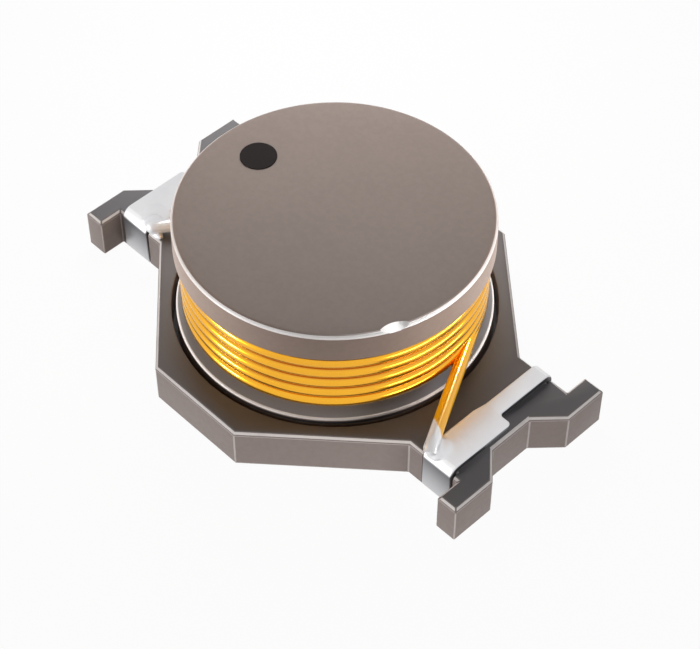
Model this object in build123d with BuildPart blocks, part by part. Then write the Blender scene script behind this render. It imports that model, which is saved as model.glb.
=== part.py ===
"""Open (unshielded) surface-mount power inductor.

A ferrite drum core with its winding stands in the round pocket of a flat base. Each end of the base
narrows to a neck, and a folded sheet-metal terminal is closed round the neck. The two ends of the
wire run straight from the winding to the terminals, where they are soldered.

Millimetres, +Z up. The origin is under the middle of the part, on the plane of its solder pads.
+X runs from the start terminal, on the side of the dot, to the finish terminal.
"""

import os
from math import acos, atan2, cos, degrees, hypot, radians, sin

from build123d import *

# Base
overall_length = 12.95
base_thickness = 1.2
base_edge_size = 0.08
standoff = 0.05
octagon_width = 9.17
octagon_side = 2.76
neck_length = 1.505
neck_width = 3.74
tab_width = 5.0
tab_thickness = 0.575
notch_mouth = 2.59
notch_floor = 1.25
notch_depth = 0.62

# Pocket in the base, and the bond in it
pocket_floor = 0.45
pocket_gap = 0.12
bond_thickness = 0.05
bond_margin = 0.4

# Drum core
core_height = 3.67
upper_flange_diameter = 7.65
upper_flange_thickness = 0.81
upper_rim_radius = 0.12
lower_flange_diameter = 7.74
lower_flange_thickness = 0.81
flange_chamfer = 0.08
post_diameter = 3.5

# Small chip in the upper rim: its length and reach on the top face, and its drop on the side
chip_bearing = -23.0
chip_length = 0.95
chip_reach = 0.2
chip_drop = 0.1

# Winding
wire_diameter = 0.33
row_gap = 0.01
inner_row_count = 6
outer_row_count = 5
outer_layer_lift = 0.2
layer_pitch = 0.3
groove_depth = 0.05
winding_diameter = 7.45
post_clearance = 0.02
last_turn_angle = 336.0

# Lead-outs: where each ends on the plan of its terminal, and the layer that the start comes from
finish_end_reach = 0.11
finish_end_inset = 0.13
start_end_gap = 0.05
start_end_inset = 0.1
start_layer_radius = 2.75

# Terminals
sheet_thickness = 0.2
terminal_width = 0.88
terminal_tab_gap = 0.16
strip_width = 0.46
strip_inset = 0.06
strip_start = 0.1
strip_taper = 0.35
shoulder_radius = 0.1
seam_offset = 1.35
seam_gap = 0.16
recess_clearance = 0.04

# Solder joints: domes, placed from the end of each lead
solder_width = 0.84
solder_rise = 0.26
solder_creep = 0.12
finish_solder_shift = 0.2
start_solder_shift = 0.12

# Polarity dot
dot_diameter = 0.9
dot_offset = 2.61
ink_thickness = 0.02

# Heights above the solder pads
base_top = standoff + base_thickness
pocket_bottom = standoff + pocket_floor
core_bottom = pocket_bottom + bond_thickness
core_top = core_bottom + core_height
window_bottom = core_bottom + lower_flange_thickness
window_top = core_top - upper_flange_thickness
terminal_top = base_top + sheet_thickness

# Plan positions
end_face = overall_length / 2
tab_inner_face = end_face - tab_thickness
neck_start = tab_inner_face - neck_length
neck_side = neck_width / 2
seat_side = neck_side - sheet_thickness + standoff
terminal_offset = tab_inner_face - terminal_tab_gap - terminal_width
strip_offset = terminal_offset + strip_inset
pad_start = base_edge_size - seat_side
pad_end = seam_offset - seam_gap / 2
wire_radius = wire_diameter / 2
row_pitch = wire_diameter + row_gap


def base_outline():
    """Corners of the base seen from above, clockwise from the +Y end of the octagon's +X half."""
    quarter = [
        (octagon_side / 2, octagon_width / 2),
        (neck_start, neck_side),
        (tab_inner_face, neck_side),
        (tab_inner_face, tab_width / 2),
        (end_face, tab_width / 2),
        (end_face, notch_mouth / 2),
        (end_face - notch_depth, notch_floor / 2),
    ]
    half = quarter + [(x, -y) for x, y in reversed(quarter)]
    return half + [(-x, -y) for x, y in half]


with BuildPart() as base:
    with BuildSketch(Plane.XY.offset(standoff)):
        with BuildLine():
            Polyline(*base_outline(), close=True)
        make_face()
    extrude(amount=base_thickness)
    levels = base.edges().group_by(Axis.Z)
    chamfer(levels[0] + levels[-1], length=base_edge_size)
    # The pocket that the lower flange stands in
    with BuildSketch(Plane.XY.offset(pocket_bottom)):
        Circle(lower_flange_diameter / 2 + pocket_gap)
    extrude(amount=base_top - pocket_bottom, mode=Mode.SUBTRACT)
    # A shallow seat round each neck lets the terminal stand proud of its sides and underside by the
    # standoff only; it is as wide as the sheet, which is narrower beyond the seam
    seat_parts = [
        (terminal_offset, terminal_width, -tab_width / 2, pad_end + recess_clearance),
        (strip_offset, strip_width, pad_end + recess_clearance, tab_width / 2),
    ]
    for start, width, low, high in seat_parts:
        for cut_start in (start - recess_clearance, -start - width - recess_clearance):
            with BuildSketch(Plane.YZ.offset(cut_start)):
                with Locations((low, 0)):
                    Rectangle(high - low, base_top, align=(Align.MIN, Align.MIN))
                with Locations((0, (sheet_thickness + base_top) / 2)):
                    RectangleRounded(2 * seat_side, base_top - sheet_thickness, base_edge_size,
                                     mode=Mode.SUBTRACT)
            extrude(amount=width + 2 * recess_clearance, mode=Mode.SUBTRACT)
base.part.label = "base"


with BuildPart() as core_bond:
    with BuildSketch(Plane.XY.offset(pocket_bottom)):
        Circle(lower_flange_diameter / 2 - bond_margin)
    extrude(amount=bond_thickness)
core_bond.part.label = "core_bond"


def chip_sphere():
    """Centre distance from the axis, centre height and radius of the sphere that cuts the chip."""
    bow = ((chip_length / 2) ** 2 + chip_reach ** 2) / (2 * chip_reach)
    height = (2 * bow * chip_reach - chip_reach ** 2 - chip_drop ** 2) / (2 * chip_drop)
    return upper_flange_diameter / 2 - chip_reach + bow, core_top + height, hypot(bow, height)


with BuildPart() as drum_core:
    with BuildSketch(Plane.XY.offset(core_bottom)):
        Circle(lower_flange_diameter / 2)
    extrude(amount=lower_flange_thickness)
    chamfer(drum_core.edges(Select.LAST).filter_by(GeomType.CIRCLE), length=flange_chamfer)
    with BuildSketch(Plane.XY.offset(window_top)):
        Circle(upper_flange_diameter / 2)
    extrude(amount=upper_flange_thickness)
    rims = drum_core.edges(Select.LAST).filter_by(GeomType.CIRCLE).sort_by(Axis.Z)
    chamfer(rims[0], length=flange_chamfer)
    fillet(rims[-1], radius=upper_rim_radius)
    with BuildSketch(Plane.XY.offset(window_bottom)):
        Circle(post_diameter / 2)
    extrude(amount=window_top - window_bottom)
    chip_distance, chip_height, chip_radius = chip_sphere()
    chip_angle = radians(chip_bearing)
    with Locations((chip_distance * cos(chip_angle), chip_distance * sin(chip_angle), chip_height)):
        Sphere(chip_radius, mode=Mode.SUBTRACT)
drum_core.part.label = "drum_core"


def tangent_bearing(point, radius, side):
    """Bearing at which a straight wire that ends at the point touches the circle, left or right of it."""
    return atan2(point.Y, point.X) + side * acos(radius / hypot(point.X, point.Y))


# The finish lead is the end of the last turn, which is the lowest of the outer layer
outer_bottom = window_bottom + outer_layer_lift
turn_radius = winding_diameter / 2 - wire_radius
turn_height = outer_bottom + row_pitch / 2
finish_end = Vector(terminal_offset + finish_end_reach, finish_end_inset - neck_side, terminal_top + wire_radius)
finish_bearing = tangent_bearing(finish_end, turn_radius, 1)
finish_outward = Vector(cos(finish_bearing), sin(finish_bearing), 0)
finish_heading = Vector(sin(finish_bearing), -cos(finish_bearing), 0)
turn_end = finish_outward * turn_radius + Vector(0, 0, turn_height)
finish_run = (finish_end - turn_end).dot(finish_heading)
finish_drop = turn_height - finish_end.Z
finish_bow_radius = (finish_run ** 2 + finish_drop ** 2) / (2 * finish_drop)
finish_bow_angle = 2 * degrees(atan2(finish_drop, finish_run))

# The start lead runs in along the lower flange, below the outer layer, to an inner layer
start_end = Vector(start_end_gap + wire_radius - terminal_offset, start_end_inset - neck_side,
                   window_bottom + row_pitch / 2)
start_bearing = tangent_bearing(start_end, start_layer_radius, -1)
start_point = Vector(start_layer_radius * cos(start_bearing), start_layer_radius * sin(start_bearing), start_end.Z)
start_heading = (start_point - start_end).normalized()

with BuildPart() as winding:
    with BuildSketch(Plane.XZ):
        crest = winding_diameter / 2
        groove = crest - groove_depth
        inner_crest = crest - layer_pitch
        inside = post_diameter / 2 + post_clearance
        inner_top = window_bottom + inner_row_count * row_pitch
        row_tops = [outer_bottom + row * row_pitch for row in range(outer_row_count + 1)]
        with BuildLine():
            # The inner layers fill the window; the outer layer is shorter, and its lowest row, where
            # the last turn is let in, has a plain wall
            Polyline((inside, window_bottom), (inner_crest, window_bottom), (inner_crest, row_tops[0]),
                     (groove, row_tops[0]), (groove, row_tops[1]))
            for row_bottom, row_top in zip(row_tops[1:], row_tops[2:]):
                ThreePointArc((groove, row_bottom), (crest, (row_bottom + row_top) / 2), (groove, row_top))
            Polyline((groove, row_tops[-1]), (inner_crest, row_tops[-1]), (inner_crest, inner_top),
                     (inside, inner_top), (inside, window_bottom))
        make_face()
    revolve(axis=Axis.Z)
    # The last turn, then the finish lead, which bows down to its terminal
    turn_plane = Plane(origin=turn_end, x_dir=finish_outward, z_dir=finish_heading)
    with BuildSketch(turn_plane):
        Circle(wire_radius)
    revolve(axis=Axis.Z, revolution_arc=last_turn_angle)
    with BuildSketch(turn_plane):
        Circle(wire_radius)
    revolve(axis=Axis(turn_end - Vector(0, 0, finish_bow_radius), finish_outward), revolution_arc=finish_bow_angle)
    with BuildSketch(Plane(origin=start_end, z_dir=start_heading)):
        Circle(wire_radius)
    extrude(amount=(start_point - start_end).length)
winding.part.label = "winding"


with BuildPart() as finish_terminal:
    # The sheet folded round the neck, with its seam underneath
    sheet_side = seat_side + sheet_thickness
    with BuildSketch(Plane.YZ.offset(terminal_offset)):
        with Locations((0, terminal_top / 2)):
            RectangleRounded(2 * sheet_side, terminal_top, base_edge_size + sheet_thickness)
        with Locations((0, (sheet_thickness + base_top) / 2)):
            RectangleRounded(2 * seat_side, base_top - sheet_thickness, base_edge_size, mode=Mode.SUBTRACT)
        with Locations((seam_offset, sheet_thickness / 2)):
            Rectangle(seam_gap, 2 * sheet_thickness, mode=Mode.SUBTRACT)
    extrude(amount=terminal_width)
    # The blank's outline: wide on the lead's side, then a shoulder and a narrow strip
    with BuildSketch(Plane.XY) as blank:
        strip_end = strip_offset + strip_width
        wide_end = terminal_offset + terminal_width
        with BuildLine():
            Polyline(
                (terminal_offset, -sheet_side),
                (terminal_offset, strip_start - strip_taper),
                (strip_offset, strip_start),
                (strip_offset, sheet_side),
                (strip_end, sheet_side),
                (strip_end, strip_start),
                (wide_end, strip_start),
                (wide_end, -sheet_side),
                close=True,
            )
        make_face()
        fillet(blank.vertices().filter_by_position(Axis.X, strip_end, wide_end)
               .filter_by_position(Axis.Y, strip_start, strip_start), radius=shoulder_radius)
    extrude(amount=terminal_top, mode=Mode.INTERSECT)
    # The solder pad under the neck keeps the full width up to the seam
    with BuildSketch(Plane.XY):
        with Locations((terminal_offset, pad_start)):
            Rectangle(terminal_width, pad_end - pad_start, align=(Align.MIN, Align.MIN))
    extrude(amount=sheet_thickness)
finish_terminal.part.label = "finish_terminal"

with BuildPart() as start_terminal:
    mirror(finish_terminal.part, about=Plane.YZ)
start_terminal.part.label = "start_terminal"


solder_radius = ((solder_width / 2) ** 2 + solder_rise ** 2) / (2 * solder_rise)
solder_height = terminal_top + solder_rise - solder_radius

with BuildPart() as finish_solder:
    # It covers the lead's end on the sheet, and creeps over the sheet's bend
    with Locations((finish_end.X + finish_solder_shift, finish_end.Y, solder_height)):
        Sphere(solder_radius)
    split(bisect_by=Plane.XY.offset(terminal_top - solder_creep))
    split(bisect_by=Plane.YZ.offset(terminal_offset))
    add(finish_terminal.part, mode=Mode.SUBTRACT)
    add(winding.part, mode=Mode.SUBTRACT)
finish_solder.part.label = "finish_solder"

with BuildPart() as start_solder:
    # It fills the corner between the lead's end, the base and the sheet's inner edge
    with Locations((start_end.X - start_solder_shift, start_end.Y + start_solder_shift, solder_height)):
        Sphere(solder_radius)
    split(bisect_by=Plane.XY.offset(base_top))
    split(bisect_by=Plane.XZ.offset(neck_side - base_edge_size), keep=Keep.BOTTOM)
    add(start_terminal.part, mode=Mode.SUBTRACT)
    add(winding.part, mode=Mode.SUBTRACT)
start_solder.part.label = "start_solder"


with BuildPart() as polarity_dot:
    with BuildSketch(Plane.XY.offset(core_top)):
        with Locations((-dot_offset, 0)):
            Circle(dot_diameter / 2)
    extrude(amount=ink_thickness)
polarity_dot.part.label = "polarity_dot"


os.makedirs("parts", exist_ok=True)
pieces = [base, core_bond, drum_core, winding, start_terminal, finish_terminal,
          start_solder, finish_solder, polarity_dot]
for piece in pieces:
    export_step(piece.part, f"parts/{piece.part.label}.step")
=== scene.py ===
"""Looks of the open surface-mount power inductor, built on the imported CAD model.
Metres, in the frame of the CAD."""
from math import acos, atan2, cos, hypot, pi, radians, sin

import bmesh
import bpy
from mathutils import Matrix, Vector


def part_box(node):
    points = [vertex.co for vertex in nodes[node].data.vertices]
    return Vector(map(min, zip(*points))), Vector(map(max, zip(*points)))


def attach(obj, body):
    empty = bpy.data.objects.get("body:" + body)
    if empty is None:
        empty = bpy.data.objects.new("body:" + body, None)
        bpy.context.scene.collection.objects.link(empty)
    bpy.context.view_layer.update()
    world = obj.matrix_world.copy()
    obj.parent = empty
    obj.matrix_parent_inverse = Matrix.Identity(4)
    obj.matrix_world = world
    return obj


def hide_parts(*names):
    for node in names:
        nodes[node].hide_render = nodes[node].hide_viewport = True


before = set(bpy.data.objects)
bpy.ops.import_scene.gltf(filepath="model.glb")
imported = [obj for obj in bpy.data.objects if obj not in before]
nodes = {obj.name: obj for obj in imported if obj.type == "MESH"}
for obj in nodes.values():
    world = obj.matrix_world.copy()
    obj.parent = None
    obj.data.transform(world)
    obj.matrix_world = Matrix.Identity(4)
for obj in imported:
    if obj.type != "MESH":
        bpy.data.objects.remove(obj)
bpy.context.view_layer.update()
scene = bpy.context.scene
MM = 0.001

# Mesh attributes, from 0 to 1, that the materials read
WEAR_AND_HIGHLIGHT, GROOVE_SHADE, TINNED = "wear_and_highlight", "groove_shade", "tinned"


# Camera

def towards(azimuth, elevation):
    """Unit vector from the object to a place, whose azimuth and elevation are in degrees; azimuth 0
    is the -Y side, and 90 the +X side."""
    a, e = radians(azimuth), radians(elevation)
    return Vector((sin(a) * cos(e), -cos(a) * cos(e), sin(e)))


def add_camera():
    """A long lens at the viewing angle of the photograph."""
    data = bpy.data.cameras.new("camera")
    data.lens = 104.41
    data.sensor_width = 36.0
    data.clip_start = 0.001
    data.clip_end = 2.0
    camera = bpy.data.objects.new("camera", data)
    scene.collection.objects.link(camera)
    target = Vector((1.005, -0.4725, 1.458)) * MM
    distance_mm = 48.62
    back = towards(azimuth=45.774, elevation=49.143)
    camera.location = target + back * distance_mm * MM
    camera.rotation_mode = "QUATERNION"
    camera.rotation_quaternion = (-back).to_track_quat("-Z", "Y")
    scene.camera = camera


add_camera()
scene.view_settings.view_transform = "Standard"


# Node helpers

class Graph:
    """A material's node tree, with its Principled shader."""

    def __init__(self, name):
        self.material = bpy.data.materials.new(name)
        self.material.use_nodes = True
        self.tree = self.material.node_tree
        self.shader = self.tree.nodes["Principled BSDF"]
        self.place = self.add("ShaderNodeTexCoord").outputs["Object"]

    def add(self, kind, **settings):
        node = self.tree.nodes.new(kind)
        for key, value in settings.items():
            setattr(node, key, value)
        return node

    def link(self, source, socket):
        """Feeds a socket from another socket, or sets it to a number or colour."""
        if isinstance(source, (int, float, tuple)):
            socket.default_value = source
        else:
            self.tree.links.new(source, socket)

    def noise(self, per_mm, detail=3.0):
        node = self.add("ShaderNodeTexNoise")
        self.link(self.place, node.inputs["Vector"])
        node.inputs["Scale"].default_value = per_mm / MM
        node.inputs["Detail"].default_value = detail
        node.inputs["Roughness"].default_value = 0.55
        return node.outputs["Fac"]

    def attribute(self, name):
        return self.add("ShaderNodeAttribute", attribute_name=name).outputs["Fac"]

    def math(self, operation, *values):
        node = self.add("ShaderNodeMath", operation=operation)
        for socket, value in zip(node.inputs, values):
            self.link(value, socket)
        return node.outputs[0]

    def span(self, value, low, high, to_low=0.0, to_high=1.0, smooth=False):
        """Maps low..high to to_low..to_high, and holds what lies beyond."""
        kind = "SMOOTHSTEP" if smooth else "LINEAR"
        node = self.add("ShaderNodeMapRange", interpolation_type=kind)
        for name, number in (("Value", value), ("From Min", low), ("From Max", high),
                             ("To Min", to_low), ("To Max", to_high)):
            self.link(number, node.inputs[name])
        return node.outputs[0]

    def spread(self, noise, to_low=0.0, to_high=1.0):
        """Maps the range that most of a noise lies in."""
        return self.span(noise, 0.3, 0.7, to_low, to_high)

    def mix(self, share, first, second):
        node = self.add("ShaderNodeMix", data_type="RGBA")
        self.link(share, node.inputs["Factor"])
        self.link(first, node.inputs[6])
        self.link(second, node.inputs[7])
        return node.outputs[2]

    def axis(self, letter, vector=None):
        """One coordinate of the place on the object, or of another vector."""
        node = self.add("ShaderNodeSeparateXYZ")
        self.link(vector or self.place, node.inputs[0])
        return node.outputs[letter]

    def upward(self):
        """How far a surface faces up, from -1 to 1."""
        return self.axis("Z", self.add("ShaderNodeNewGeometry").outputs["Normal"])

    def bump(self, height, depth_mm, strength):
        node = self.add("ShaderNodeBump")
        node.inputs["Strength"].default_value = strength
        node.inputs["Distance"].default_value = depth_mm * MM
        self.link(height, node.inputs["Height"])
        self.link(node.outputs[0], self.shader.inputs["Normal"])

    def set(self, **inputs):
        for name, value in inputs.items():
            self.link(value, self.shader.inputs[name.replace("_", " ")])


def rgb(r, g, b):
    return (r, g, b, 1.0)


# Materials

def ferrite(name, dark, light, worn_and_highlight, rough, top_tone, shade_line_mm=0.0):
    """Fired ferrite: fine speckle, faint clouds, a slightly grainy surface, and pale, chipped
    edges, partly rubbed and partly painted highlights. What faces up below about 1.5 mm takes
    another tone: on the base, its whole top, a painted shade darker than its walls; on the drum,
    a cool grey on the lower flange's top. A dark line of painted shadow, where the gap round the
    lower flange lies in shade, runs round just below a given height; a height of 0 shows none."""
    # Colour of the painted shadow line at the gap round the lower flange
    gap_shade_colour = rgb(0.03, 0.028, 0.028)
    g = Graph(name)
    clouds = g.noise(per_mm=0.35, detail=4.0)
    grain = g.noise(per_mm=18.0, detail=2.0)
    speck = g.noise(per_mm=7.0, detail=1.0)
    share = g.math("ADD", g.spread(clouds, 0.0, 0.6), g.span(speck, 0.35, 0.65, 0.0, 0.4))
    patches = g.span(g.noise(per_mm=1.6, detail=4.0), 0.25, 0.5, 0.75, 1.0)
    # Pale edges: partly rubbed, partly painted highlights
    wear_and_highlight = g.math("MULTIPLY", g.attribute(WEAR_AND_HIGHLIGHT), patches)
    polish = g.math("MULTIPLY", wear_and_highlight, 0.15)
    body = g.mix(share, rgb(*dark), rgb(*light))
    height = g.axis("Z")
    # Painted shade on the base's top; a cool grey on the drum's lower flange top
    low_down = g.span(height, 1.5 * MM, 1.6 * MM, 1.0, 0.0)
    toned_top = g.math("MULTIPLY", g.span(g.upward(), 0.8, 0.95), low_down)
    top_tone_light = rgb(*(1.15 * c for c in top_tone))
    body = g.mix(toned_top, body, g.mix(clouds, rgb(*top_tone), top_tone_light))
    # Painted shadow: a dark line round the lower flange, where its gap lies in shade
    below_shade_line = g.span(height, (shade_line_mm - 0.02) * MM, shade_line_mm * MM, 1.0, 0.0)
    above_foot = g.span(height, (shade_line_mm - 0.11) * MM, (shade_line_mm - 0.08) * MM)
    gap_shade = g.math("MULTIPLY", below_shade_line, above_foot)
    g.set(Base_Color=g.mix(gap_shade, g.mix(wear_and_highlight, body, rgb(*worn_and_highlight)), gap_shade_colour),
          Roughness=g.math("SUBTRACT", g.spread(grain, rough - 0.05, rough + 0.05), polish))
    g.shader.inputs["Specular IOR Level"].default_value = 0.25
    g.bump(g.math("ADD", grain, g.math("MULTIPLY", speck, 0.6)), depth_mm=0.002, strength=0.25)
    return g.material


def tin(name, rough, upright_shade=0.0):
    """Tin plate: pale grey metal with faint flow marks, and paler edges, partly rubbed and partly
    painted highlights. Painted shade darkens the upright sides, from a quarter at the foot to the
    given share at 1.2 mm, just below the bends."""
    # Pale edges, partly painted highlights, and the colour of the painted shade
    scuffed_and_highlight, shade_colour = rgb(0.93, 0.93, 0.93), rgb(0.10, 0.10, 0.11)
    g = Graph(name)
    flow = g.noise(per_mm=1.2, detail=3.0)
    fine = g.noise(per_mm=30.0, detail=2.0)
    sheet = g.mix(g.spread(flow), rgb(0.78, 0.78, 0.80), rgb(0.85, 0.85, 0.865))
    # Painted shade on the upright sides, growing towards the bends
    upright = g.span(g.math("ABSOLUTE", g.upward()), 0.1, 0.35, 1.0, 0.0)
    shade_mask = g.math("MULTIPLY", g.span(g.axis("Z"), 0.1 * MM, 1.2 * MM, 0.25, upright_shade), upright)
    sheet = g.mix(shade_mask, g.mix(g.attribute(WEAR_AND_HIGHLIGHT), sheet, scuffed_and_highlight), shade_colour)
    g.set(Base_Color=sheet, Roughness=g.spread(flow, rough, rough + 0.08))
    g.shader.inputs["Metallic"].default_value = 0.85
    g.bump(g.math("ADD", flow, g.math("MULTIPLY", fine, 0.08)), depth_mm=0.004, strength=0.3)
    return g.material


def enamelled_wire(name):
    """Copper under amber enamel, with painted shade where turns meet, and tinned where a lead
    comes to its terminal. The enamel shines like metal on the coil, and less on the leads."""
    groove_shade_colour, tinned_colour = rgb(0.42, 0.13, 0.02), rgb(0.90, 0.90, 0.91)
    coil_radius, lead_radius = 3.75 * MM, 4.0 * MM
    g = Graph(name)
    drift = g.noise(per_mm=0.5, detail=2.0)
    fine = g.noise(per_mm=9.0, detail=2.0)
    enamel = g.mix(g.spread(drift), rgb(0.88, 0.41, 0.006), rgb(0.94, 0.46, 0.008))
    # Painted shade where turns meet
    enamel = g.mix(g.attribute(GROOVE_SHADE), enamel, groove_shade_colour)
    ragged = g.math("ADD", g.attribute(TINNED), g.spread(g.noise(per_mm=2.2), -0.15, 0.15))
    tinned = g.span(ragged, 0.35, 0.65, smooth=True)
    squares = (g.math("MULTIPLY", g.axis(letter), g.axis(letter)) for letter in "XY")
    from_axis = g.math("SQRT", g.math("ADD", *squares))
    g.set(Base_Color=g.mix(tinned, enamel, tinned_colour),
          Metallic=g.span(from_axis, coil_radius, lead_radius, 0.9, 0.15),
          Roughness=g.spread(fine, 0.19, 0.21))
    g.shader.inputs["Coat Weight"].default_value = 0.65
    g.shader.inputs["Coat Roughness"].default_value = 0.1
    return g.material


def dull(name, first, second, rough, per_mm):
    """A dull surface of two close colours."""
    g = Graph(name)
    g.shader.inputs["Specular IOR Level"].default_value = 0.12
    fine = g.noise(per_mm, detail=3.0)
    g.set(Base_Color=g.mix(g.spread(fine), rgb(*first), rgb(*second)),
          Roughness=g.spread(fine, rough - 0.05, rough + 0.05))
    g.bump(fine, depth_mm=0.003, strength=0.3)
    return g.material


# Pale edge colours are rubbed edges and painted highlights; the base's top tone is painted shade
core_material = ferrite("core_ferrite", dark=(0.225, 0.163, 0.133), light=(0.255, 0.187, 0.153),
                        worn_and_highlight=(0.95, 0.91, 0.89), rough=0.40,
                        top_tone=(0.26, 0.275, 0.315), shade_line_mm=1.29)
base_material = ferrite("base_ferrite", dark=(0.235, 0.192, 0.176), light=(0.270, 0.222, 0.205),
                        worn_and_highlight=(0.82, 0.77, 0.75), rough=0.46, top_tone=(0.158, 0.151, 0.157))
# The sheet's painted shade just below its bends
sheet_material = tin("tinned_sheet", rough=0.40, upright_shade=0.90)
solder_material = tin("solder", rough=0.48)
wire_material = enamelled_wire("enamelled_wire")
ink_material = dull("ink", (0.011, 0.007, 0.007), (0.017, 0.012, 0.011), rough=0.75, per_mm=10.0)
bond_material = dull("bond", (0.03, 0.025, 0.02), (0.05, 0.04, 0.035), rough=0.4, per_mm=4.0)


# Mesh helpers

def piece(name, mesh, material, replaced):
    """A visible piece that stands for one CAD node."""
    obj = bpy.data.objects.new(name, mesh)
    scene.collection.objects.link(obj)
    mesh.materials.append(material)
    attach(obj, "root")
    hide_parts(replaced)
    return obj


def finished(bm, name, crease=50):
    """Turns a bmesh into a smooth mesh, with creases where faces meet at more than that angle."""
    mesh = bpy.data.meshes.new(name)
    bm.to_mesh(mesh)
    bm.free()
    mesh.shade_smooth()
    mesh.set_sharp_from_angle(angle=radians(crease))
    return mesh


def applied(obj):
    """A new mesh of the object with its modifiers applied."""
    bpy.context.view_layer.update()
    graph = bpy.context.evaluated_depsgraph_get()
    return bpy.data.meshes.new_from_object(obj.evaluated_get(graph))


def softened(node, width_mm, kept=lambda middle: False):
    """A copy of the CAD node's mesh with its sharp edges rounded off, but for those that are kept.
    Chamfers are marked pale, as rubbed edges and painted highlights, and rounded upright edges
    less so."""
    sharp = radians(30)
    bm = bmesh.new()
    bm.from_mesh(nodes[node].data)
    bmesh.ops.remove_doubles(bm, verts=bm.verts, dist=1e-7)
    bmesh.ops.dissolve_limit(bm, angle_limit=radians(0.4), verts=bm.verts, edges=bm.edges)
    # Pale faces: rubbed edges and painted highlights
    wear_and_highlight = bm.faces.layers.float.new(WEAR_AND_HIGHLIGHT)
    for face in bm.faces:
        slanted = 0.3 < abs(face.normal.z) < 0.97
        face[wear_and_highlight] = float(slanted)
    edges = [e for e in bm.edges if len(e.link_faces) == 2 and e.calc_face_angle(0.0) > sharp
             and not kept(sum((v.co for v in e.verts), Vector()) / 2)]
    rounded = bmesh.ops.bevel(bm, geom=edges, offset=width_mm * MM, offset_type="OFFSET",
                              segments=3, profile=0.5, affect="EDGES", clamp_overlap=False)
    for face in rounded["faces"]:
        upright = abs(face.normal.z) < 0.2
        face[wear_and_highlight] = 0.4 * upright
    return finished(bm, node + "_soft", crease=28)


def on_ring(radius, bearing, height):
    """A point round the drum's axis; the bearing is in radians from +X."""
    return Vector((radius * cos(bearing), radius * sin(bearing), height))


def lathe(bm, profile, steps, mark=None):
    """A profile of (radius, height) turned round the drum's axis, closed unless it starts on the
    axis; mark(radius, height, bearing) is how pale a face is, as rubbed edge and painted
    highlight."""
    rings = [[bm.verts.new(on_ring(r, 2 * pi * k / steps, z)) for k in range(steps)]
             for r, z in profile]
    layer = bm.faces.layers.float.new(WEAR_AND_HIGHLIGHT) if mark else None
    pairs = zip(rings, rings[1:] + rings[:1] if profile[0][0] else rings[1:])
    for i, (first, second) in enumerate(pairs):
        (r0, z0), (r1, z1) = profile[i], profile[(i + 1) % len(profile)]
        for k in range(steps):
            after = (k + 1) % steps
            face = bm.faces.new((first[k], first[after], second[after], second[k]))
            if mark:
                face[layer] = mark((r0 + r1) / 2, (z0 + z1) / 2, 2 * pi * (k + 0.5) / steps)
    bmesh.ops.remove_doubles(bm, verts=bm.verts, dist=1e-9)


def rounded_corner(r, z, radius, first, last, steps=6):
    """Profile points of an arc about (r, z), between two angles in degrees."""
    return [(r + radius * cos(radians(a)), z + radius * sin(radians(a)))
            for a in (first + (last - first) * k / steps for k in range(steps + 1))]


# Winding: each turn that shows is a whole round wire

WIRE = 0.165 * MM  # radius over the enamel
WIRE_SIDES = 24
PITCH = 0.34 * MM
OUTER_ROWS, INNER_ROWS = 5, 6
TURN_STEPS = 240
LAST_TURN, DESCENT = 392, 60  # degrees that the last turn goes round, and comes down in
POST = 1.77 * MM  # radius of the drum's post

winding_low, winding_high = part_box("winding")
outer = winding_high.y - WIRE
inner = outer - 0.3 * MM
start_layer = 2.75 * MM
outer_bottom = winding_low.z + 0.2 * MM
finish_end = Vector((4.97, -1.74, 1.615)) * MM
start_end = Vector((-4.645, -1.77, 1.53)) * MM


def row_height(row):
    """Height of a row of the outer layer; row 0 is the last turn."""
    return outer_bottom + (row + 0.5) * PITCH


def tangent_bearing(end, radius, sense):
    """Bearing at which a straight lead to that end leaves a layer on a tangent, on one side of the
    end (1) or the other (-1)."""
    return atan2(end.y, end.x) + sense * acos(radius / hypot(end.x, end.y))


finish_bearing = tangent_bearing(finish_end, outer, 1)
leave = on_ring(outer, finish_bearing, row_height(0))
run = finish_end - leave
along = Vector((run.x, run.y, 0)).normalized()
side = Vector((-along.y, along.x, 0))
enter = on_ring(start_layer, tangent_bearing(start_end, start_layer, -1), start_end.z)


def tube(bm, path, closed=False, tinned=None):
    """A round wire along the points. A closed turn is marked for painted shade where it meets its
    neighbours, and an open lead has its ends capped; tinned(point) is a lead's share of tin."""
    count = len(path)
    groove_shade = bm.verts.layers.float.get(GROOVE_SHADE) or bm.verts.layers.float.new(GROOVE_SHADE)
    tin_layer = bm.verts.layers.float.get(TINNED) or bm.verts.layers.float.new(TINNED)
    rings = []
    normal = Vector((0, 0, 1))
    for i, point in enumerate(path):
        ahead = path[(i + 1) % count] if closed or i + 1 < count else point
        behind = path[i - 1] if closed or i > 0 else point
        heading = (ahead - behind).normalized()
        normal = (normal - heading * normal.dot(heading)).normalized()
        across = heading.cross(normal)
        ring = []
        for a in (2 * pi * k / WIRE_SIDES for k in range(WIRE_SIDES)):
            vert = bm.verts.new(point + (normal * cos(a) + across * sin(a)) * WIRE)
            # Painted shade along the top and bottom of each turn
            if closed:
                vert[groove_shade] = max(0.0, (abs(cos(a)) - 0.72) / 0.28)
            if tinned:
                vert[tin_layer] = tinned(vert.co)
            ring.append(vert)
        rings.append(ring)
    pairs = list(zip(rings, rings[1:]))
    if closed:
        pairs.append((rings[-1], rings[0]))
    for first, second in pairs:
        for k in range(WIRE_SIDES):
            after = (k + 1) % WIRE_SIDES
            bm.faces.new((first[k], first[after], second[after], second[k]))
    if not closed:
        bm.faces.new(rings[0])
        bm.faces.new(list(reversed(rings[-1])))


def whole_turn(radius, height):
    return [on_ring(radius, radians(360 * k / TURN_STEPS), height) for k in range(TURN_STEPS)]


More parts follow.
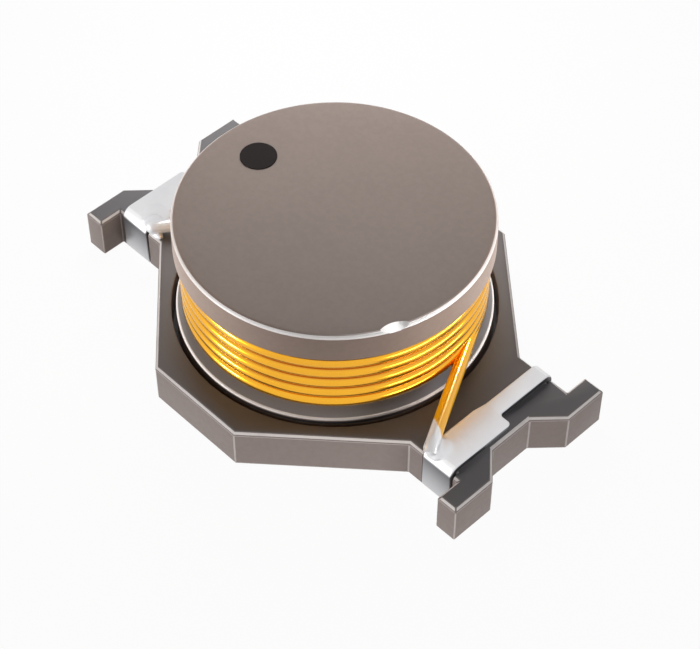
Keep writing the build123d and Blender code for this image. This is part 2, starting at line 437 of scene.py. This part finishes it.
def last_turn():
    """Points of the last turn, which comes down out of the row above it, and of the finish lead."""
    lead_steps, dip = 24, 1.8
    first_bearing = finish_bearing * 180 / pi + LAST_TURN
    points = []
    for k in range(TURN_STEPS + 1):
        share = k / TURN_STEPS
        ease = min(1.0, share * LAST_TURN / DESCENT)
        ease = ease * ease * (3 - 2 * ease)
        height = row_height(1) + (row_height(0) - row_height(1)) * ease
        points.append(on_ring(outer, radians(first_bearing - LAST_TURN * share), height))
    for k in range(1, lead_steps + 1):
        share = k / lead_steps
        points.append(leave + Vector((run.x * share, run.y * share, run.z * share ** dip)))
    points.append(finish_end + Vector((0.10, -0.16, -0.10)) * MM)
    return points


finish_path = last_turn()


def lead_tin(at):
    """Share of tin on the finish lead: it reaches further up the lead's outer side."""
    if hypot(at.x, at.y) < outer + 1.5 * WIRE:
        return 0.0
    place = at - leave
    tin_start = run.dot(along) - 0.45 * MM
    reach = place.dot(along) - 1.35 * place.dot(side) - tin_start
    return min(1.0, max(0.0, 0.5 + reach / (0.3 * MM)))


def start_lead():
    """Points of the lead that comes out of an inner layer, from its end inwards."""
    steps = 12
    return [start_end + (enter - start_end) * (k / steps) for k in range(steps + 1)]


def layers_behind(bm):
    """The layers behind the outer rows, and a wall in the gaps between them, marked with the
    full painted shade of where turns meet.
    """
    wall = outer - 0.02 * MM
    top, step, foot = row_height(OUTER_ROWS - 1), row_height(1), winding_low.z + PITCH * 0.1
    lathe(bm, [(POST, top), (wall, top), (wall, step), (inner, step), (inner, foot), (POST, foot)],
          steps=180)
    # The wall between the outer rows takes the full painted shade
    groove_shade = bm.verts.layers.float.get(GROOVE_SHADE)
    for vert in bm.verts:
        if abs(hypot(vert.co.x, vert.co.y) - wall) < 1e-8:
            vert[groove_shade] = 1.0


def wound_mesh():
    bm = bmesh.new()
    for row in range(1, OUTER_ROWS):
        tube(bm, whole_turn(outer, row_height(row)), closed=True)
    for row in range(INNER_ROWS):
        tube(bm, whole_turn(inner, winding_low.z + (row + 0.5) * PITCH), closed=True)
    tube(bm, finish_path, tinned=lead_tin)
    tube(bm, start_lead(), tinned=lambda at: 1.0)
    layers_behind(bm)
    bmesh.ops.recalc_face_normals(bm, faces=bm.faces)
    return finished(bm, "wound_wire")


wound_wire = piece("wound_wire", wound_mesh(), wire_material, "winding")


# Core: a turned drum with rounded rims, and a small chip in the upper one

core_low, core_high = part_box("drum_core")
FLANGE = 0.81 * MM
UPPER_RADIUS = 3.825 * MM
RIM = 0.12 * MM  # rounding of the upper flange's top
EDGE = 0.05 * MM  # rounding of all other edges
lower_radius = core_high.y
window_low, window_high = core_low.z + FLANGE, core_high.z - FLANGE
CHIP_RADIUS_MM = 1.266
CHIP_BEARING = radians(-23)


def drum_profile():
    return (
        [(0.0, core_low.z)]
        + rounded_corner(lower_radius - EDGE, core_low.z + EDGE, EDGE, -90, 0)
        + rounded_corner(lower_radius - EDGE, window_low - EDGE, EDGE, 0, 90)
        + rounded_corner(POST + EDGE, window_low + EDGE, EDGE, 270, 180)
        + rounded_corner(POST + EDGE, window_high - EDGE, EDGE, 180, 90)
        + rounded_corner(UPPER_RADIUS - EDGE, window_high + EDGE, EDGE, -90, 0)
        + rounded_corner(UPPER_RADIUS - RIM, core_high.z - RIM, RIM, 0, 90, steps=12)
        + [(UPPER_RADIUS * share, core_high.z) for share in (0.9, 0.7, 0.4, 0.1, 0.0)]
    )


def rim_wear_and_highlight(r, z, bearing):
    """Paleness of the rounded rims, as rubbed edges and painted highlights: on the lower flange's,
    and a painted highlight line along the middle of the upper flange's, brightest on the side of
    the chip and fading round the sides."""
    # The lower flange's rim: rubbed, and a painted highlight
    if r > lower_radius - EDGE and abs(z - window_low) < EDGE:
        return 0.65
    slope = atan2(z - (core_high.z - RIM), r - (UPPER_RADIUS - RIM))
    # A painted highlight line along the upper rim, strongest at bearing -40 degrees
    if z > core_high.z - RIM and radians(12) < slope < radians(58):
        return 0.4 + 0.8 * max(0.0, cos(bearing + radians(40))) ** 2
    return 0.0


def drum_mesh():
    bm = bmesh.new()
    lathe(bm, drum_profile(), steps=256, mark=rim_wear_and_highlight)
    bmesh.ops.recalc_face_normals(bm, faces=bm.faces)
    return finished(bm, "core")


def chip_rim(drum):
    """Breaks a shallow shell-shaped chip out of the upper rim, and paints it palest, as bare
    ferrite and as a painted highlight.
    """
    out_mm, up_mm = 4.289, 1.078
    place = on_ring(out_mm, CHIP_BEARING, up_mm) * MM + Vector((0, 0, core_high.z))
    bm = bmesh.new()
    bmesh.ops.create_uvsphere(bm, u_segments=96, v_segments=64, radius=CHIP_RADIUS_MM * MM,
                              matrix=Matrix.Translation(place))
    ball = bpy.data.objects.new("chip_ball", finished(bm, "chip_ball"))
    scene.collection.objects.link(ball)
    cut = drum.modifiers.new("chip", "BOOLEAN")
    cut.object = ball
    drum.data = applied(drum)
    drum.modifiers.clear()
    bpy.data.objects.remove(ball)
    drum.data.set_sharp_from_angle(angle=radians(25))
    # The chip is painted palest: bare ferrite, and a painted highlight
    wear_and_highlight = drum.data.attributes[WEAR_AND_HIGHLIGHT].data
    for polygon in drum.data.polygons:
        if (polygon.center - place).length < (CHIP_RADIUS_MM + 0.002) * MM:
            wear_and_highlight[polygon.index].value = 1.3


core = piece("core", drum_mesh(), core_material, "drum_core")
chip_rim(core)


# Base and terminals: the CAD's form with its edges rounded off

def in_seat(middle):
    """Whether an edge of the base belongs to a terminal's seat, which is too shallow to round."""
    return 4.81 * MM < abs(middle.x) < 5.79 * MM


base_plate = piece("base_plate", softened("base", 0.025, kept=in_seat), base_material,
                   "base")
clips = [piece(end + "_clip", softened(end + "_terminal", 0.035), sheet_material,
               end + "_terminal") for end in ("start", "finish")]


# Solder: each joint is one smooth mound over sheet and wire

def mound(name, replaced, spots):
    """Ellipsoids (centre, half sizes; in millimetres) melted into one smooth mound."""
    bm = bmesh.new()
    for centre, half in spots:
        stretch = Matrix.Diagonal((*[h * MM for h in half], 1.0))
        bmesh.ops.create_icosphere(bm, subdivisions=4, radius=1.0,
                                   matrix=Matrix.Translation(Vector(centre) * MM) @ stretch)
    raw = bpy.data.objects.new(name + "_raw", finished(bm, name))
    scene.collection.objects.link(raw)
    remesh = raw.modifiers.new("melt", "REMESH")
    remesh.mode = "VOXEL"
    remesh.voxel_size = 0.022 * MM
    smooth = raw.modifiers.new("smooth", "SMOOTH")
    smooth.factor = 0.6
    smooth.iterations = 14
    melted = applied(raw)
    bpy.data.objects.remove(raw)
    melted.name = name
    melted.shade_smooth()
    return piece(name, melted, solder_material, replaced)


def wetted(tip, heading):
    """Beads along a lead's end: a little proud of the wire at its tip, and inside it behind."""
    length_mm, beads = 0.5, 8
    return [(tip / MM - heading * length_mm * k / beads,
             (WIRE / MM * (1.12 - 0.17 * k / beads),) * 3)
            for k in range(beads + 1)]


def finish_joint():
    tip = finish_end + Vector((0.03, -0.05, -0.06)) * MM
    heading = (finish_path[-1] - finish_path[-6]).normalized()
    collar = ((5.10, -1.56, 1.44), (0.28, 0.28, 0.10))
    film = ((5.28, -1.38, 1.40), (0.42, 0.42, 0.080))
    foot = ((5.10, -1.72, 1.38), (0.24, 0.20, 0.17))
    corner = ((5.03, -1.78, 1.42), (0.17, 0.16, 0.17))
    return mound("finish_joint", "finish_solder",
                 wetted(tip, heading) + [collar, film, foot, corner])


def start_joint():
    tip = start_end + Vector((-0.06, -0.02, 0.0)) * MM
    heading = (start_end - enter).normalized()
    collar = ((-4.86, -1.60, 1.40), (0.26, 0.24, 0.18))
    film = ((-5.08, -1.38, 1.40), (0.42, 0.42, 0.080))
    foot = ((-4.78, -1.72, 1.34), (0.20, 0.14, 0.20))
    corner = ((-4.62, -1.76, 1.31), (0.24, 0.12, 0.10))
    return mound("start_joint", "start_solder",
                 wetted(tip, heading) + [collar, film, foot, corner])


joints = [finish_joint(), start_joint()]

for node, material in (("polarity_dot", ink_material), ("core_bond", bond_material)):
    nodes[node].data.materials.clear()
    nodes[node].data.materials.append(material)


# Floor and world: white to the camera and in reflections, while their light stays plain

def seen_directly(tree):
    """1 for a ray from the camera, or one that was mirrored or let through, else 0."""
    rays = tree.nodes.new("ShaderNodeLightPath")
    total = rays.outputs["Is Camera Ray"]
    for name in ("Is Glossy Ray", "Is Transmission Ray"):
        node = tree.nodes.new("ShaderNodeMath")
        node.operation = "MAXIMUM"
        tree.links.new(total, node.inputs[0])
        tree.links.new(rays.outputs[name], node.inputs[1])
        total = node.outputs[0]
    return total


def floor_material():
    """Matte white; seen directly it glows white, but for the small share that shows the shadow."""
    glow_share = 0.96
    material = bpy.data.materials.new("floor")
    material.use_nodes = True
    tree = material.node_tree
    tree.nodes.clear()
    output = tree.nodes.new("ShaderNodeOutputMaterial")
    blend = tree.nodes.new("ShaderNodeMixShader")
    matte = tree.nodes.new("ShaderNodeBsdfDiffuse")
    matte.inputs["Color"].default_value = rgb(0.86, 0.86, 0.86)
    glow = tree.nodes.new("ShaderNodeEmission")
    glow.inputs["Strength"].default_value = 1.0
    share = tree.nodes.new("ShaderNodeMath")
    share.operation = "MULTIPLY"
    share.inputs[1].default_value = glow_share
    tree.links.new(seen_directly(tree), share.inputs[0])
    tree.links.new(share.outputs[0], blend.inputs[0])
    tree.links.new(matte.outputs[0], blend.inputs[1])
    tree.links.new(glow.outputs[0], blend.inputs[2])
    tree.links.new(blend.outputs[0], output.inputs[0])
    return material


def add_floor():
    half = 0.6
    mesh = bpy.data.meshes.new("floor")
    corners = [(-half, -half, 0), (half, -half, 0), (half, half, 0), (-half, half, 0)]
    mesh.from_pydata(corners, [], [(0, 1, 2, 3)])
    mesh.materials.append(floor_material())
    floor = bpy.data.objects.new("floor", mesh)
    scene.collection.objects.link(floor)


def add_world():
    """White seen directly, and a faint even light from everywhere."""
    world = bpy.data.worlds.new("world")
    scene.world = world
    world.use_nodes = True
    tree = world.node_tree
    sky = tree.nodes["Background"]
    sky.inputs["Color"].default_value = rgb(1, 1, 1)
    strength = tree.nodes.new("ShaderNodeMapRange")
    strength.inputs["To Min"].default_value = 0.08
    strength.inputs["To Max"].default_value = 1.0
    tree.links.new(seen_directly(tree), strength.inputs["Value"])
    tree.links.new(strength.outputs[0], sky.inputs["Strength"])


add_floor()
add_world()


# Lamps

def lamp(name, azimuth, elevation, distance, width, height, watts,
         lit=None, mirrored=True, scattered=True):
    """A soft rectangular lamp turned to the drum, with its distance and sides in millimetres. It
    lights everything, or only the objects in lit; mirrored and scattered say whether surfaces
    reflect it as an image and as plain light."""
    data = bpy.data.lights.new(name, "AREA")
    data.shape = "RECTANGLE"
    data.size, data.size_y = width * MM, height * MM
    data.energy = watts
    obj = bpy.data.objects.new(name, data)
    scene.collection.objects.link(obj)
    away = towards(azimuth, elevation)
    obj.location = Vector((0, 0, 2 * MM)) + away * distance * MM
    obj.rotation_mode = "QUATERNION"
    obj.rotation_quaternion = away.to_track_quat("Z", "Y")
    obj.visible_camera = False
    obj.visible_glossy = mirrored
    obj.visible_diffuse = scattered
    if lit:
        receivers = bpy.data.collections.new(name + "_receivers")
        for receiver in lit:
            receivers.objects.link(receiver)
        obj.light_linking.receiver_collection = receivers


untinned = [obj for obj in scene.objects if obj.type == "MESH" and obj not in clips + joints]

# Soft light from behind over the top, and from the front left on the walls
lamp("back_softbox", azimuth=226, elevation=42, distance=15, width=14, height=14, watts=0.0021,
     lit=untinned)
lamp("left_key", azimuth=-22, elevation=3, distance=60, width=15, height=9, watts=0.020)

# A long low strip that the coil mirrors as lines
lamp("right_strip", azimuth=102, elevation=2, distance=24, width=22, height=2, watts=0.0028,
     lit=[wound_wire])

# Light that shades the drum's walls from side to side, and lifts the base's far side
lamp("left_side_light", azimuth=-42, elevation=2, distance=24, width=20, height=10, watts=0.006,
     lit=[core], mirrored=False)
lamp("right_side_light", azimuth=118, elevation=2, distance=24, width=20, height=10, watts=0.0115,
     lit=[core], mirrored=False)
lamp("base_light", azimuth=68, elevation=2, distance=40, width=20, height=10, watts=0.0090,
     lit=[base_plate], mirrored=False)

# The glints on the chip and on the finish lead
lamp("chip_light", azimuth=104, elevation=67, distance=25, width=12, height=12, watts=0.012,
     lit=[core], scattered=False)
lamp("lead_light", azimuth=165, elevation=47.7, distance=13.9, width=2.6, height=2.6, watts=0.0009,
     lit=[wound_wire])
